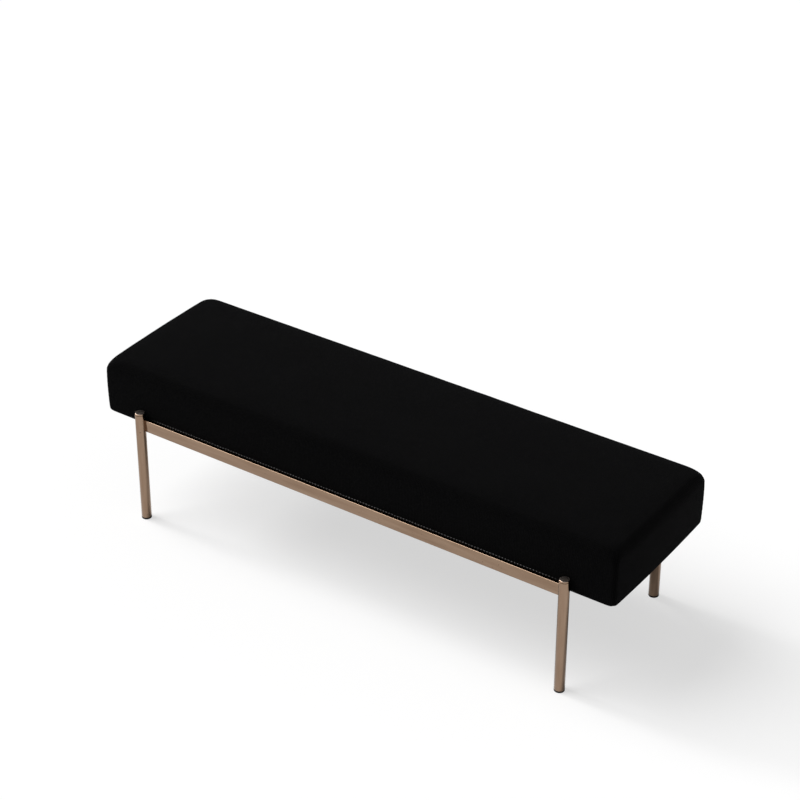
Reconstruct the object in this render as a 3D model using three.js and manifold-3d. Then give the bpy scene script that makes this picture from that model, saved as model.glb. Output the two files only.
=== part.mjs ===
// Upholstered bench: a thick padded seat carried by a welded metal frame.
// Four round legs stand outside the long sides of the seat and rise past its underside.
// A flat tube joins each pair of legs along the length, and bars between the two tubes
// carry the seat, which is bolted down from below.
// Millimetres, +Z up. The origin is on the floor under the middle of the bench,
// +X runs along the length and -Y is the front.

import * as THREE from 'three';
import { mergeVertices } from 'three/addons/utils/BufferGeometryUtils.js';
import Module from 'manifold-3d';

const wasm = await Module();
wasm.setup();

// Driving dimensions
const seatLength = 1600;
const seatDepth = 450;
const seatThickness = 167;
const seatOverhang = 135;
const legHeight = 340;
const legDiameter = 28;

// Clearances
const fitGap = 0.3;
const legToSeatGap = 1;
const cutOverrun = 1;

// Legs: round tube with a flat cap above and a glide below
const legWall = 1.5;
const capHeight = 5;
const capEdgeRadius = 2.5;
const capPlugLength = 10;
const glideHeight = 5;
const glideEdgeRadius = 1;
const glidePlugLength = 18;
const glidePlugWaist = 2;
const glideRibCount = 2;
const glideRibShare = 0.4;
const legSides = 28;
const capEdgeSteps = 3;

// Rails: flat tube between the legs of each long side
const railHeight = 35;
const railThickness = 12;
const railWall = 1.5;
const railEdgeRadius = 2;
const railBoreRadiusShare = 0.25;
const railDrop = 22.3;
const railCurveSteps = 3;

// Cross bars: flat bar between the two rails
const crossBarCount = 4;
const crossBarWidth = 40;
const crossBarHeight = 10;
const crossBarEdgeRadius = 1.5;
const crossBarLegInset = 65;
const crossBarCurveSteps = 2;

// Seat: cover, foam, board and lining
const fabricThickness = 2;
const hemWidth = 28;
const boardThickness = 15;
const liningThickness = 1;
const crownHeight = 5;
const endBow = 4;
const sideDraw = 1;
const cornerRadius = 13;
const cornerGrowthShare = 1.7;
const cornerLimitShare = 0.9;
const topEdgeDrop = 35;
const topEdgeInset = 22;
const bottomEdgeRadius = 9;
const crownFlatShare = 0.82;

// Fastenings: button-head bolts through the bars into tee nuts let into the board
const boltHemInset = 36;
const boltDiameter = 6;
const boltHeadLip = 2.5;
const boltHeadHeight = 3.3;
const boltHeadEdge = 1;
const boltHeadFlatShare = 0.6;
const boltSocketWidth = 4;
const boltSocketDepth = 2;
const boltSocketSides = 6;
const boltEndSink = 4;
const boltHoleClearance = 1;
const liningHoleClearance = 3;
const washerRim = 5;
const washerThickness = 1.5;
const teeNutWall = 0.6;
const teeNutFlangeRim = 5.6;
const teeNutFlangeThickness = 1.2;
const teeNutBarrelLength = 9;
const fastenerSides = 16;

// How finely the seat's rounded form is divided
const cornerSteps = 5;
const endSteps = 4;
const sideSteps = 5;
const topEdgeSteps = 5;
const bottomEdgeSteps = 3;
const crownSteps = 3;

// Derived places of the frame
const legRadius = legDiameter / 2;
const legX = seatLength / 2 - seatOverhang;
const legY = seatDepth / 2 + legToSeatGap + legRadius;
const railTop = legHeight - railDrop;
const railBottom = railTop - railHeight;
const railInnerY = legY - legRadius;
const railY = railInnerY + railThickness / 2;
const crossBarTop = railBottom + crossBarHeight;
const crossBarLength = 2 * (railInnerY - fitGap);
const crossBarReach = legX - crossBarLegInset;

// Derived heights of the seat, measured from its underside
const seatUnderside = crossBarTop + fitGap;
const seatShoulder = seatThickness - crownHeight;
const boardBottom = fabricThickness + fitGap;
const boardTop = boardBottom + boardThickness;
const foamSkin = fabricThickness + fitGap;
const undersideInset = bottomEdgeRadius + sideDraw;
const pocketInset = undersideInset + fitGap;
const boardInset = pocketInset + fitGap;
const hemInset = undersideInset + hemWidth;
const seatHalfLength = seatLength / 2 - endBow;
const seatHalfDepth = seatDepth / 2;
const crownFlatInset = seatHalfDepth * crownFlatShare;

// Derived sizes of the fastenings
const boltRadius = boltDiameter / 2;
const threadRadius = boltRadius + fitGap;
const teeNutRadius = threadRadius + teeNutWall;
const teeNutFlangeRadius = teeNutRadius + teeNutFlangeRim;
const teeNutTop = boardTop - fitGap;
const washerTop = railBottom - fitGap;
const boltSeat = washerTop - washerThickness - fitGap;
const boltEnd = seatUnderside + teeNutTop - boltEndSink;
const boltY = seatHalfDepth - hemInset - boltHemInset;

const metal = new THREE.MeshStandardMaterial({ color: 0x8c7866, roughness: 0.12, metalness: 1 });
const fabric = new THREE.MeshStandardMaterial({ color: 0x0c0c0d, roughness: 0.95, metalness: 0 });
const lining = new THREE.MeshStandardMaterial({ color: 0x1b1b1d, roughness: 0.9, metalness: 0 });
const foam = new THREE.MeshStandardMaterial({ color: 0xe3d9b4, roughness: 0.95, metalness: 0 });
const plywood = new THREE.MeshStandardMaterial({ color: 0xc49a66, roughness: 0.75, metalness: 0 });
const plastic = new THREE.MeshStandardMaterial({ color: 0x0b0b0b, roughness: 0.5, metalness: 0 });
const zinc = new THREE.MeshStandardMaterial({ color: 0x9da0a3, roughness: 0.35, metalness: 1 });

function piece(name, geometry, material, x, y, z) {
  const mesh = new THREE.Mesh(geometry, material.clone());
  mesh.name = name;
  mesh.position.set(x, y, z);
  return mesh;
}

function toSolid(geometry) {
  const bare = geometry.clone();
  bare.deleteAttribute('normal');
  bare.deleteAttribute('uv');
  const welded = mergeVertices(bare);
  const mesh = new wasm.Mesh({
    numProp: 3,
    vertProperties: new Float32Array(welded.attributes.position.array),
    triVerts: new Uint32Array(welded.index.array),
  });
  return new wasm.Manifold(mesh);
}

function toGeometry(solid) {
  const mesh = solid.getMesh();
  const geometry = new THREE.BufferGeometry();
  geometry.setAttribute('position', new THREE.BufferAttribute(mesh.vertProperties, 3));
  geometry.setIndex(new THREE.BufferAttribute(mesh.triVerts, 1));
  geometry.computeVertexNormals();
  return geometry;
}

// A solid of revolution about Z from [radius, height] pairs, listed upward on the outside.
function turned(profile, sides) {
  const points = profile.map(([radius, height]) => new THREE.Vector2(radius, height));
  const geometry = new THREE.LatheGeometry(points, sides);
  geometry.rotateX(Math.PI / 2);
  return geometry;
}

// A tube about Z, its profile closing on itself.
function ringProfile(innerRadius, outerRadius, bottom, top) {
  return [
    [innerRadius, bottom],
    [outerRadius, bottom],
    [outerRadius, top],
    [innerRadius, top],
    [innerRadius, bottom],
  ];
}

// An upright drill from one height to another, run past both by the overrun.
function drill(radius, x, y, bottom, top) {
  const length = top - bottom + 2 * cutOverrun;
  const geometry = new THREE.CylinderGeometry(radius, radius, length, fastenerSides);
  geometry.rotateX(Math.PI / 2);
  geometry.translate(x, y, (top + bottom) / 2);
  return toSolid(geometry);
}

function roundedRectangle(path, width, height, radius) {
  const x = width / 2 - radius;
  const y = height / 2 - radius;
  path.absarc(x, y, radius, 0, Math.PI / 2);
  path.absarc(-x, y, radius, Math.PI / 2, Math.PI);
  path.absarc(-x, -y, radius, Math.PI, 1.5 * Math.PI);
  path.absarc(x, -y, radius, 1.5 * Math.PI, 2 * Math.PI);
  path.closePath();
  return path;
}

// Every bolt place: on each cross bar, one near each rail.
function boltPlaces() {
  const places = [];
  for (let bar = 0; bar < crossBarCount; bar += 1) {
    const x = crossBarReach * (2 * bar / (crossBarCount - 1) - 1);
    places.push({ label: `${bar + 1}_front`, x, y: -boltY });
    places.push({ label: `${bar + 1}_back`, x, y: boltY });
  }
  return places;
}

// Legs

function legTube() {
  return turned(
    ringProfile(legRadius - legWall, legRadius, glideHeight + fitGap, legHeight - capHeight - fitGap),
    legSides,
  );
}

function legCap() {
  const plugRadius = legRadius - legWall - fitGap;
  const seat = legHeight - capHeight;
  const profile = [
    [0, seat - capPlugLength],
    [plugRadius, seat - capPlugLength],
    [plugRadius, seat],
    [legRadius, seat],
  ];
  for (let step = 0; step <= capEdgeSteps; step += 1) {
    const angle = Math.PI / 2 * step / capEdgeSteps;
    profile.push([
      legRadius - capEdgeRadius * (1 - Math.cos(angle)),
      legHeight - capEdgeRadius * (1 - Math.sin(angle)),
    ]);
  }
  profile.push([0, legHeight]);
  return turned(profile, legSides);
}

function glide() {
  const plugRadius = legRadius - legWall - fitGap;
  const coreRadius = plugRadius - glidePlugWaist;
  const pitch = glidePlugLength / glideRibCount;
  const profile = [
    [0, 0],
    [legRadius - glideEdgeRadius, 0],
    [legRadius, glideEdgeRadius],
    [legRadius, glideHeight],
    [coreRadius, glideHeight],
  ];
  for (let rib = 1; rib <= glideRibCount; rib += 1) {
    const ribTop = glideHeight + pitch * rib;
    profile.push([coreRadius, ribTop - pitch * glideRibShare]);
    profile.push([plugRadius, ribTop - pitch * glideRibShare]);
    profile.push([coreRadius, ribTop]);
  }
  profile.push([0, glideHeight + glidePlugLength]);
  return turned(profile, legSides);
}

function buildLegs() {
  const group = new THREE.Group();
  const tube = legTube();
  const cap = legCap();
  const foot = glide();
  for (const [row, y] of [['front', -legY], ['back', legY]]) {
    for (const [side, x] of [['left', -legX], ['right', legX]]) {
      group.add(piece(`leg_${row}_${side}`, tube, metal, x, y, 0));
      group.add(piece(`leg_cap_${row}_${side}`, cap, metal, x, y, 0));
      group.add(piece(`glide_${row}_${side}`, foot, plastic, x, y, 0));
    }
  }
  return group;
}

// Rails and cross bars

// A flat tube along X whose ends are coped round the legs. Its legs stand on the -Y side.
function rail() {
  const outline = roundedRectangle(new THREE.Shape(), railThickness, railHeight, railEdgeRadius);
  const boreRadius = Math.max(railEdgeRadius - railWall, railEdgeRadius * railBoreRadiusShare);
  outline.holes.push(roundedRectangle(
    new THREE.Path(),
    railThickness - 2 * railWall,
    railHeight - 2 * railWall,
    boreRadius,
  ));
  const geometry = new THREE.ExtrudeGeometry(outline, {
    depth: 2 * legX,
    bevelEnabled: false,
    curveSegments: railCurveSteps,
  });
  geometry.translate(0, 0, -legX);
  geometry.applyMatrix4(new THREE.Matrix4().makeBasis(
    new THREE.Vector3(0, 1, 0),
    new THREE.Vector3(0, 0, 1),
    new THREE.Vector3(1, 0, 0),
  ));
  let solid = toSolid(geometry);
  for (const x of [-legX, legX]) {
    const radius = legRadius + fitGap;
    const cope = new THREE.CylinderGeometry(radius, radius, railHeight + 2 * cutOverrun, legSides);
    cope.rotateX(Math.PI / 2);
    cope.translate(x, railY - legY, 0);
    solid = solid.subtract(toSolid(cope));
  }
  return toGeometry(solid);
}

function crossBar() {
  const outline = roundedRectangle(new THREE.Shape(), crossBarWidth, crossBarHeight, crossBarEdgeRadius);
  const geometry = new THREE.ExtrudeGeometry(outline, {
    depth: crossBarLength,
    bevelEnabled: false,
    curveSegments: crossBarCurveSteps,
  });
  geometry.translate(0, 0, -crossBarLength / 2);
  geometry.rotateX(Math.PI / 2);
  let solid = toSolid(geometry);
  for (const y of [-boltY, boltY]) {
    const hole = drill(boltRadius + boltHoleClearance, 0, y, -crossBarHeight / 2, crossBarHeight / 2);
    solid = solid.subtract(hole);
  }
  return toGeometry(solid);
}

function buildRails() {
  const group = new THREE.Group();
  const tube = rail();
  const railZ = railTop - railHeight / 2;
  group.add(piece('rail_front', tube, metal, 0, -railY, railZ));
  const back = piece('rail_back', tube, metal, 0, railY, railZ);
  back.rotation.z = Math.PI;
  group.add(back);
  const bar = crossBar();
  for (let index = 0; index < crossBarCount; index += 1) {
    const x = crossBarReach * (2 * index / (crossBarCount - 1) - 1);
    group.add(piece(`cross_bar_${index + 1}`, bar, metal, x, 0, crossBarTop - crossBarHeight / 2));
  }
  return group;
}

// Seat

// The seat bows out at its ends, most at the middle of the depth.
function bowed(x, y, z) {
  const fullness = 1 - (y / seatHalfDepth) ** 2;
  return new THREE.Vector3(x * (1 + endBow / seatHalfLength * fullness), y, z);
}

// The plan outline of the seat, drawn in by inset. Its corners open out further in,
// and skin is how far the surface lies under the outside of the cover.
function planRing(inset, skin, height) {
  const halfLength = seatHalfLength - inset;
  const halfDepth = seatHalfDepth - inset;
  const wanted = cornerRadius - skin + cornerGrowthShare * (inset - skin);
  const radius = Math.min(wanted, halfDepth * cornerLimitShare);
  const x = halfLength - radius;
  const y = halfDepth - radius;
  const ring = [];
  for (const [cornerX, cornerY, turn] of [[x, y, 0], [-x, y, 1], [-x, -y, 2], [x, -y, 3]]) {
    for (let step = 0; step <= cornerSteps; step += 1) {
      const angle = Math.PI / 2 * (turn + step / cornerSteps);
      ring.push([cornerX + radius * Math.cos(angle), cornerY + radius * Math.sin(angle)]);
    }
    const steps = turn % 2 === 0 ? sideSteps : endSteps;
    const [runX, runY] = [[-2 * x, 0], [0, -2 * y], [2 * x, 0], [0, 2 * y]][turn];
    const [startX, startY] = ring[ring.length - 1];
    for (let step = 1; step < steps; step += 1) {
      ring.push([startX + runX * step / steps, startY + runY * step / steps]);
    }
  }
  return ring.map(([px, py]) => bowed(px, py, height));
}

// The seat's upright section from the flat of the crown down to the underside,
// as [inset, height] pairs of the surface that lies skin under the outside.
function seatSection(skin) {
  const section = [];
  const crownRise = (inset) => {
    const run = (crownFlatInset - inset) / (crownFlatInset - topEdgeInset);
    return crownHeight * (1 - run * run);
  };
  for (let step = 0; step < crownSteps; step += 1) {
    const inset = crownFlatInset + (topEdgeInset - crownFlatInset) * step / crownSteps;
    section.push([inset, seatShoulder - skin + crownRise(inset)]);
  }
  const middle = seatShoulder / 2;
  const drawn = (height) => sideDraw * ((height - middle) / middle) ** 2;
  for (let step = 0; step <= topEdgeSteps; step += 1) {
    const angle = Math.PI / 2 * (1 - step / topEdgeSteps);
    const height = seatShoulder - topEdgeDrop + (topEdgeDrop - skin) * Math.sin(angle);
    section.push([topEdgeInset - (topEdgeInset - skin) * Math.cos(angle) + drawn(height), height]);
  }
  section.push([skin + drawn(middle), middle]);
  for (let step = 0; step <= bottomEdgeSteps; step += 1) {
    const angle = Math.PI / 2 * step / bottomEdgeSteps;
    const height = bottomEdgeRadius - (bottomEdgeRadius - skin) * Math.sin(angle);
    section.push([
      bottomEdgeRadius - (bottomEdgeRadius - skin) * Math.cos(angle) + drawn(height),
      height,
    ]);
  }
  return section;
}

function flatFaces(ring) {
  const outline = ring.map((point) => new THREE.Vector2(point.x, point.y));
  return THREE.ShapeUtils.triangulateShape(outline, []);
}

// A closed body from rings of equally many points: walls between them, a flat at each end.
function stacked(rings) {
  const count = rings[0].length;
  const positions = rings.flat().flatMap((point) => [point.x, point.y, point.z]);
  const index = [];
  for (let level = 0; level < rings.length - 1; level += 1) {
    for (let step = 0; step < count; step += 1) {
      const next = (step + 1) % count;
      const [a, b] = [level * count + step, level * count + next];
      const [c, d] = [a + count, b + count];
      index.push(a, c, d, a, d, b);
    }
  }
  for (const [a, b, c] of flatFaces(rings[0])) {
    index.push(a, b, c);
  }
  const last = (rings.length - 1) * count;
  for (const [a, b, c] of flatFaces(rings[rings.length - 1])) {
    index.push(last + a, last + c, last + b);
  }
  const geometry = new THREE.BufferGeometry();
  geometry.setAttribute('position', new THREE.Float32BufferAttribute(positions, 3));
  geometry.setIndex(index);
  geometry.computeVertexNormals();
  return geometry;
}

// The cover: a shell over the whole pad, its hem turned in under the board.
function seatCover() {
  const outside = seatSection(0).map(([inset, height]) => planRing(inset, 0, height));
  const inside = seatSection(fabricThickness);
  const rings = [
    ...outside,
    planRing(hemInset, 0, 0),
    planRing(hemInset, 0, fabricThickness),
    ...inside.reverse().map(([inset, height]) => planRing(inset, fabricThickness, height)),
  ];
  return stacked(rings);
}

// The foam fills the cover and hangs over the edges of the board, which sits in its pocket.
function seatFoam() {
  const outside = seatSection(foamSkin).map(([inset, height]) => planRing(inset, foamSkin, height));
  return stacked([
    ...outside,
    planRing(pocketInset, 0, boardBottom),
    planRing(pocketInset, 0, boardTop + fitGap),
  ]);
}

function seatBoard() {
  let solid = toSolid(stacked([
    planRing(boardInset, 0, boardTop),
    planRing(boardInset, 0, boardBottom),
  ]));
  const recessBottom = teeNutTop - teeNutFlangeThickness - fitGap;
  for (const { x, y } of boltPlaces()) {
    solid = solid.subtract(drill(teeNutRadius + fitGap, x, y, boardBottom, boardTop));
    // The recess is blind, so it gives back the overrun at its bottom.
    const recess = drill(teeNutFlangeRadius + fitGap, x, y, recessBottom + cutOverrun, boardTop);
    solid = solid.subtract(recess);
  }
  return toGeometry(solid);
}

function seatLining() {
  const top = boardBottom - fitGap;
  const bottom = top - liningThickness;
  let solid = toSolid(stacked([
    planRing(hemInset + fitGap, 0, top),
    planRing(hemInset + fitGap, 0, bottom),
  ]));
  for (const { x, y } of boltPlaces()) {
    solid = solid.subtract(drill(boltRadius + liningHoleClearance, x, y, bottom, top));
  }
  return toGeometry(solid);
}

function buildSeat() {
  const group = new THREE.Group();
  group.position.z = seatUnderside;
  group.add(piece('seat_cover', seatCover(), fabric, 0, 0, 0));
  group.add(piece('seat_foam', seatFoam(), foam, 0, 0, 0));
  group.add(piece('seat_board', seatBoard(), plywood, 0, 0, 0));
  group.add(piece('seat_lining', seatLining(), lining, 0, 0, 0));
  return group;
}

// Fastenings

// A button-head bolt pointing up, the underside of its head at zero.
function bolt() {
  const headRadius = boltRadius + boltHeadLip;
  const shankLength = boltEnd - boltSeat;
  const body = turned([
    [0, -boltHeadHeight],
    [headRadius * boltHeadFlatShare, -boltHeadHeight],
    [headRadius, -boltHeadEdge],
    [headRadius, 0],
    [boltRadius, 0],
    [boltRadius, shankLength],
    [0, shankLength],
  ], fastenerSides);
  const socketRadius = boltSocketWidth / Math.sqrt(3);
  const socketLength = boltSocketDepth + cutOverrun;
  const socket = new THREE.CylinderGeometry(socketRadius, socketRadius, socketLength, boltSocketSides);
  socket.rotateX(Math.PI / 2);
  socket.translate(0, 0, boltSocketDepth - boltHeadHeight - socketLength / 2);
  return toGeometry(toSolid(body).subtract(toSolid(socket)));
}

function washer() {
  return turned(ringProfile(threadRadius, threadRadius + washerRim, -washerThickness, 0), fastenerSides);
}

// A tee nut hanging from its flange, the top of the flange at zero.
function teeNut() {
  return turned([
    [threadRadius, -teeNutBarrelLength],
    [teeNutRadius, -teeNutBarrelLength],
    [teeNutRadius, -teeNutFlangeThickness],
    [teeNutFlangeRadius, -teeNutFlangeThickness],
    [teeNutFlangeRadius, 0],
    [threadRadius, 0],
    [threadRadius, -teeNutBarrelLength],
  ], fastenerSides);
}

function buildFastenings() {
  const group = new THREE.Group();
  const boltShape = bolt();
  const washerShape = washer();
  const teeNutShape = teeNut();
  for (const { label, x, y } of boltPlaces()) {
    group.add(piece(`bolt_${label}`, boltShape, zinc, x, y, boltSeat));
    group.add(piece(`washer_${label}`, washerShape, zinc, x, y, washerTop));
    group.add(piece(`tee_nut_${label}`, teeNutShape, zinc, x, y, seatUnderside + teeNutTop));
  }
  return group;
}

const bench = new THREE.Group();
bench.add(buildLegs());
bench.add(buildRails());
bench.add(buildSeat());
bench.add(buildFastenings());

export default bench;
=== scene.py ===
"""The looks of a long upholstered bench: a padded black seat on a polished metal frame.

Metres, +Z up, the floor at zero. The bench's length runs along X and its front is at -Y.
"""

import math

import bmesh
import bpy
from mathutils import Matrix, Quaternion, Vector, noise
from mathutils.kdtree import KDTree


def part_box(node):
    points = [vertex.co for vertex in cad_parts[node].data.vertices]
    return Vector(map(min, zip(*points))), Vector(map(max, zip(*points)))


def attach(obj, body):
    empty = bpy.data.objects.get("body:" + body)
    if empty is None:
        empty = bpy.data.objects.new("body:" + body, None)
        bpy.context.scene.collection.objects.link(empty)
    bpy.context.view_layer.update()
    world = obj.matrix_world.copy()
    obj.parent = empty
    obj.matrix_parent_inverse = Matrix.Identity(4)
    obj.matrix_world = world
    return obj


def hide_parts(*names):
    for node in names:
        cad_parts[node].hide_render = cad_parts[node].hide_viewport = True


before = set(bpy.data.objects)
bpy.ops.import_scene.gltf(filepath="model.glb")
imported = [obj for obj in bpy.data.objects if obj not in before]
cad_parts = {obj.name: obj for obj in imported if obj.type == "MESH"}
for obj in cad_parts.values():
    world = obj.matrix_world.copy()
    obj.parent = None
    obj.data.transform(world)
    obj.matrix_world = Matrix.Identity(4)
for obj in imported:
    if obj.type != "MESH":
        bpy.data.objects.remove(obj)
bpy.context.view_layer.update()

# Seat pad, in the same sizes as the solids
HALF_LENGTH = 0.796
HALF_DEPTH = 0.225
UNDERSIDE = 0.293
SHOULDER = 0.162
CROWN = 0.005
CROWN_FLAT = 0.1845
END_BOW = 0.004
SIDE_DRAW = 0.001
CORNER = 0.013
CORNER_GROWTH = 1.7
CORNER_LIMIT = 0.9
TOP_DROP = 0.035
TOP_INSET = 0.022
TOP_SLOPE = 2 * CROWN / (CROWN_FLAT - TOP_INSET)
BOTTOM_ROUND = 0.009
CLOTH = 0.002
HEM_INNER = 0.038
HEM_RINGS = (0.019, 0.029, HEM_INNER)
FOAM_SKIN = 0.0023
POCKET = 0.0103
POCKET_TOP = 0.0176

# Cloth of the cover: the weave, how far it may swell, and its corner seams
YARN = 0.0045
LEVEL_REACH = 0.74
HEM_HELD = 0.006
HEM_FLAT = 0.008
CLOTH_STEPS = 20
EVENING_ROUNDS = 24
SWELL_ON_TOP = 0.0025
SWELL_AT_FRAME = 0.0005
SWELL_MORE_ABOVE = 0.0018
ABOVE_FRAME = 0.342
ABOVE_BLEND = 0.04
SIDE_FROM = 0.2
SIDE_BLEND = 0.022
UNEVEN = 0.0005
SEAM_DEPTH = 0.0011
SEAM_WIDTH = 0.0019
SEAM_REACH = 0.03
SEAM_FADE = 0.03
SEAM_FADE_AT_HEM = 0.012
PUCKER = 0.0005
PUCKER_PITCH = 0.014
PUCKER_PLACE = 0.006
PUCKER_WIDTH = 0.004

# Mesh of the pad: where its lines cross a side near the corners, and how many cross the rest
NEAR_CORNER = (0, 0.003, 0.0065, 0.0105, 0.015, 0.021, 0.029, 0.039, 0.051)
LINES_ALONG = 100
LINES_ACROSS = 25

# Dust cloth
LINING_RISE = 0.0019
LINING_THICK = 0.0006
LINING_SAG = 0.0011
LINING_HOLE = 0.006

# Frame
LEG_RADIUS = 0.014
LEG_WALL = 0.0015
CAP_HEIGHT = 0.005
CAP_ROUND = 0.0025
JOINT_ROUND = 0.0004
NECK = 0.0012
GLIDE_HEIGHT = 0.005
GLIDE_ROUND = 0.001
FIT_GAP = 0.0003
RAIL_ROUND = 0.0015
RAIL_TOP = 0.3177
# Height of the painted highlight row on the cover's long sides, at the rail tops
HIGHLIGHT_ROW_HEIGHT = RAIL_TOP - 0.0003
RAIL_WALL = 0.0015
BAR_PLACES = (-0.6, -0.2, 0.2, 0.6)
OUTER_BAR = 0.6
BAR_PITCH = 0.4
BAR_ROUND = 0.0015
BAR_HOLE = 0.004
WELD_BEAD = 0.0013
WELD_RIPPLE = 0.0009
WELD_LINE = 0.2259
WELD_START = 0.0012
WELD_STAND = 0.0002
WELD_UNEVEN = 0.19

# Fastenings
HEAD_RADIUS = 0.0055
HEAD_HEIGHT = 0.0033
HEAD_ROUND = 0.0022
SHANK_RADIUS = 0.003
SHANK_ROUND = 0.0006
KEY_ACROSS = 0.004
KEY_HEIGHT = 0.004
WASHER_HOLE = 0.0033
WASHER_WIDTH = 0.005
WASHER_ROUND = 0.0003
STAPLE_HALF = (0.0050, 0.0006, 0.0003)
STAPLE_LEG_FROM = 0.0040
STAPLE_LEG = 0.0020
STAPLE_ROUND = 0.0004
STAPLE_INSET = 0.034
STAPLE_PITCH = 0.035
STAPLE_ASKEW = 0.16
STAPLE_STRAY = 0.0008
BAR_CLEARANCE = 0.030

# Studio: the floor and the sky, as they light, are seen and are mirrored
FLOOR_SIZE = 60
FLOOR_TONE = 0.9
FLOOR_TONE_SEEN = 0.40
FLOOR_GLOW_SEEN = 0.52
FLOOR_GLOW_MIRRORED = 0.08
SKY_LIGHT = 0.24
SKY_SEEN = 1.0

CORNERS = ("front_left", "front_right", "back_left", "back_right")
BOLT_PLACES = [f"{bar}_{side}" for bar in (1, 2, 3, 4) for side in ("front", "back")]


# ------------ bench work

def pick(piece):
    """Makes one piece the only one selected."""
    bpy.ops.object.select_all(action="DESELECT")
    piece.select_set(True)
    bpy.context.view_layer.objects.active = piece


def open_up(piece):
    pick(piece)
    bpy.ops.object.mode_set(mode="EDIT")


def close_up():
    bpy.ops.object.mode_set(mode="OBJECT")


def choose(kind, test):
    """In edit mode, selects the faces or the edges that pass a test."""
    piece = bpy.context.edit_object
    bpy.ops.mesh.select_mode(type=kind)
    bpy.ops.mesh.select_all(action="DESELECT")
    form = bmesh.from_edit_mesh(piece.data)
    for part in form.faces if kind == "FACE" else form.edges:
        if test(part):
            part.select_set(True)
    form.select_flush_mode()
    bmesh.update_edit_mesh(piece.data)


def middle(part):
    """The middle of a face or an edge."""
    if isinstance(part, bmesh.types.BMEdge):
        return (part.verts[0].co + part.verts[1].co) / 2
    return part.calc_center_median()


def faces_up(face):
    return face.normal.z > 0.9


def faces_down(face):
    return face.normal.z < -0.9


def open_ends(axis):
    """In edit mode, takes off the faces at both ends of an axis."""
    choose("FACE", lambda face: abs(face.normal[axis]) > 0.9)
    bpy.ops.mesh.delete(type="FACE")


def draw_up(height):
    """In edit mode, extrudes the selected faces along Z."""
    bpy.ops.mesh.extrude_region_move(TRANSFORM_OT_translate={"value": (0, 0, height)})


def round_off(test, offset, segments):
    """In edit mode, bevels the edges that pass a test."""
    choose("EDGE", test)
    bpy.ops.mesh.bevel(offset=offset, segments=segments, affect="EDGES")


def settle(piece, name):
    """Puts a piece's place and size into its mesh and names it."""
    pick(piece)
    bpy.ops.object.transform_apply(location=True, rotation=True, scale=True)
    piece.name = name
    piece.data.name = name
    return piece


def joined(pieces, name):
    """Several pieces made one."""
    pick(pieces[0])
    for piece in pieces:
        piece.select_set(True)
    bpy.ops.object.join()
    return settle(bpy.context.active_object, name)


def block(name, low, high):
    """A block between two corners, to be shaped further."""
    bpy.ops.mesh.primitive_cube_add(size=1, location=(low + high) / 2, scale=high - low)
    return settle(bpy.context.active_object, name)


def round_bar(radius, length, spot, sides):
    """An upright round bar with its middle at a spot, to be shaped further."""
    bpy.ops.mesh.primitive_cylinder_add(vertices=sides, radius=radius, depth=length, location=spot)
    return bpy.context.active_object


def new_piece(name, data):
    """Puts a mesh, a lamp or a camera into the scene."""
    piece = bpy.data.objects.new(name, data)
    bpy.context.scene.collection.objects.link(piece)
    return piece


def from_points(name, points, faces):
    data = bpy.data.meshes.new(name)
    data.from_pydata(points, [], faces)
    return new_piece(name, data)


def finish_with(piece, kind, **values):
    """Adds a modifier, sets it and applies it."""
    pick(piece)
    change = piece.modifiers.new(kind.title(), kind)
    for name, value in values.items():
        setattr(change, name, value)
    bpy.ops.object.modifier_apply(modifier=change.name)


def thicken(piece, thickness, offset=-1):
    """Makes a skin a wall, inward unless the offset is 1."""
    finish_with(piece, "SOLIDIFY", thickness=thickness, offset=offset, use_even_offset=True)


def cut_with(piece, cutter):
    """Takes the form of a cutter out of a piece, and does away with the cutter."""
    finish_with(piece, "BOOLEAN", object=cutter, operation="DIFFERENCE", solver="EXACT")
    bpy.data.objects.remove(cutter)


def smooth(piece, degrees=35):
    pick(piece)
    bpy.ops.object.shade_smooth_by_angle(angle=math.radians(degrees))
    return piece


def copied(model, name, shift, turn=0):
    """A copy of a model with its own mesh, turned about Z and moved."""
    twin = model.copy()
    twin.data = model.data.copy()
    twin.data.transform(Matrix.Translation(shift) @ Matrix.Rotation(turn, 4, "Z"))
    twin.name = name
    twin.data.name = name
    bpy.context.scene.collection.objects.link(twin)
    return twin


def place(piece, finish, slot, *nodes):
    """Gives a piece its finish, fixes it to the bench and hides the solids it stands for."""
    piece.data.materials.clear()
    piece.data.materials.append(finish)
    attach(piece, "root")
    if nodes:
        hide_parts(*nodes)
    return piece


def centre_of(node):
    low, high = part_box(node)
    return (low + high) / 2


# ------------ finishes

class Nodes:
    """Short ways to add nodes to the tree of a material or of the world."""

    def __init__(self, tree):
        self.tree = tree

    def join(self, value, socket):
        if isinstance(value, bpy.types.NodeSocket):
            self.tree.links.new(value, socket)
        else:
            socket.default_value = value

    def node(self, kind, values=None, **settings):
        made = self.tree.nodes.new(f"ShaderNode{kind}")
        for name, value in settings.items():
            setattr(made, name, value)
        for socket, value in (values or {}).items():
            self.join(value, made.inputs[socket])
        return made

    def sum(self, operation, *values):
        made = self.node("Math", operation=operation)
        for value, socket in zip(values, made.inputs):
            self.join(value, socket)
        return made.outputs[0]

    def times(self, *values):
        return self.sum("MULTIPLY", *values)

    def spread(self, value, low, high, to_low, to_high):
        """A value taken from one range to another."""
        values = {0: value, 1: low, 2: high, 3: to_low, 4: to_high}
        return self.node("MapRange", values).outputs[0]


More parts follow.
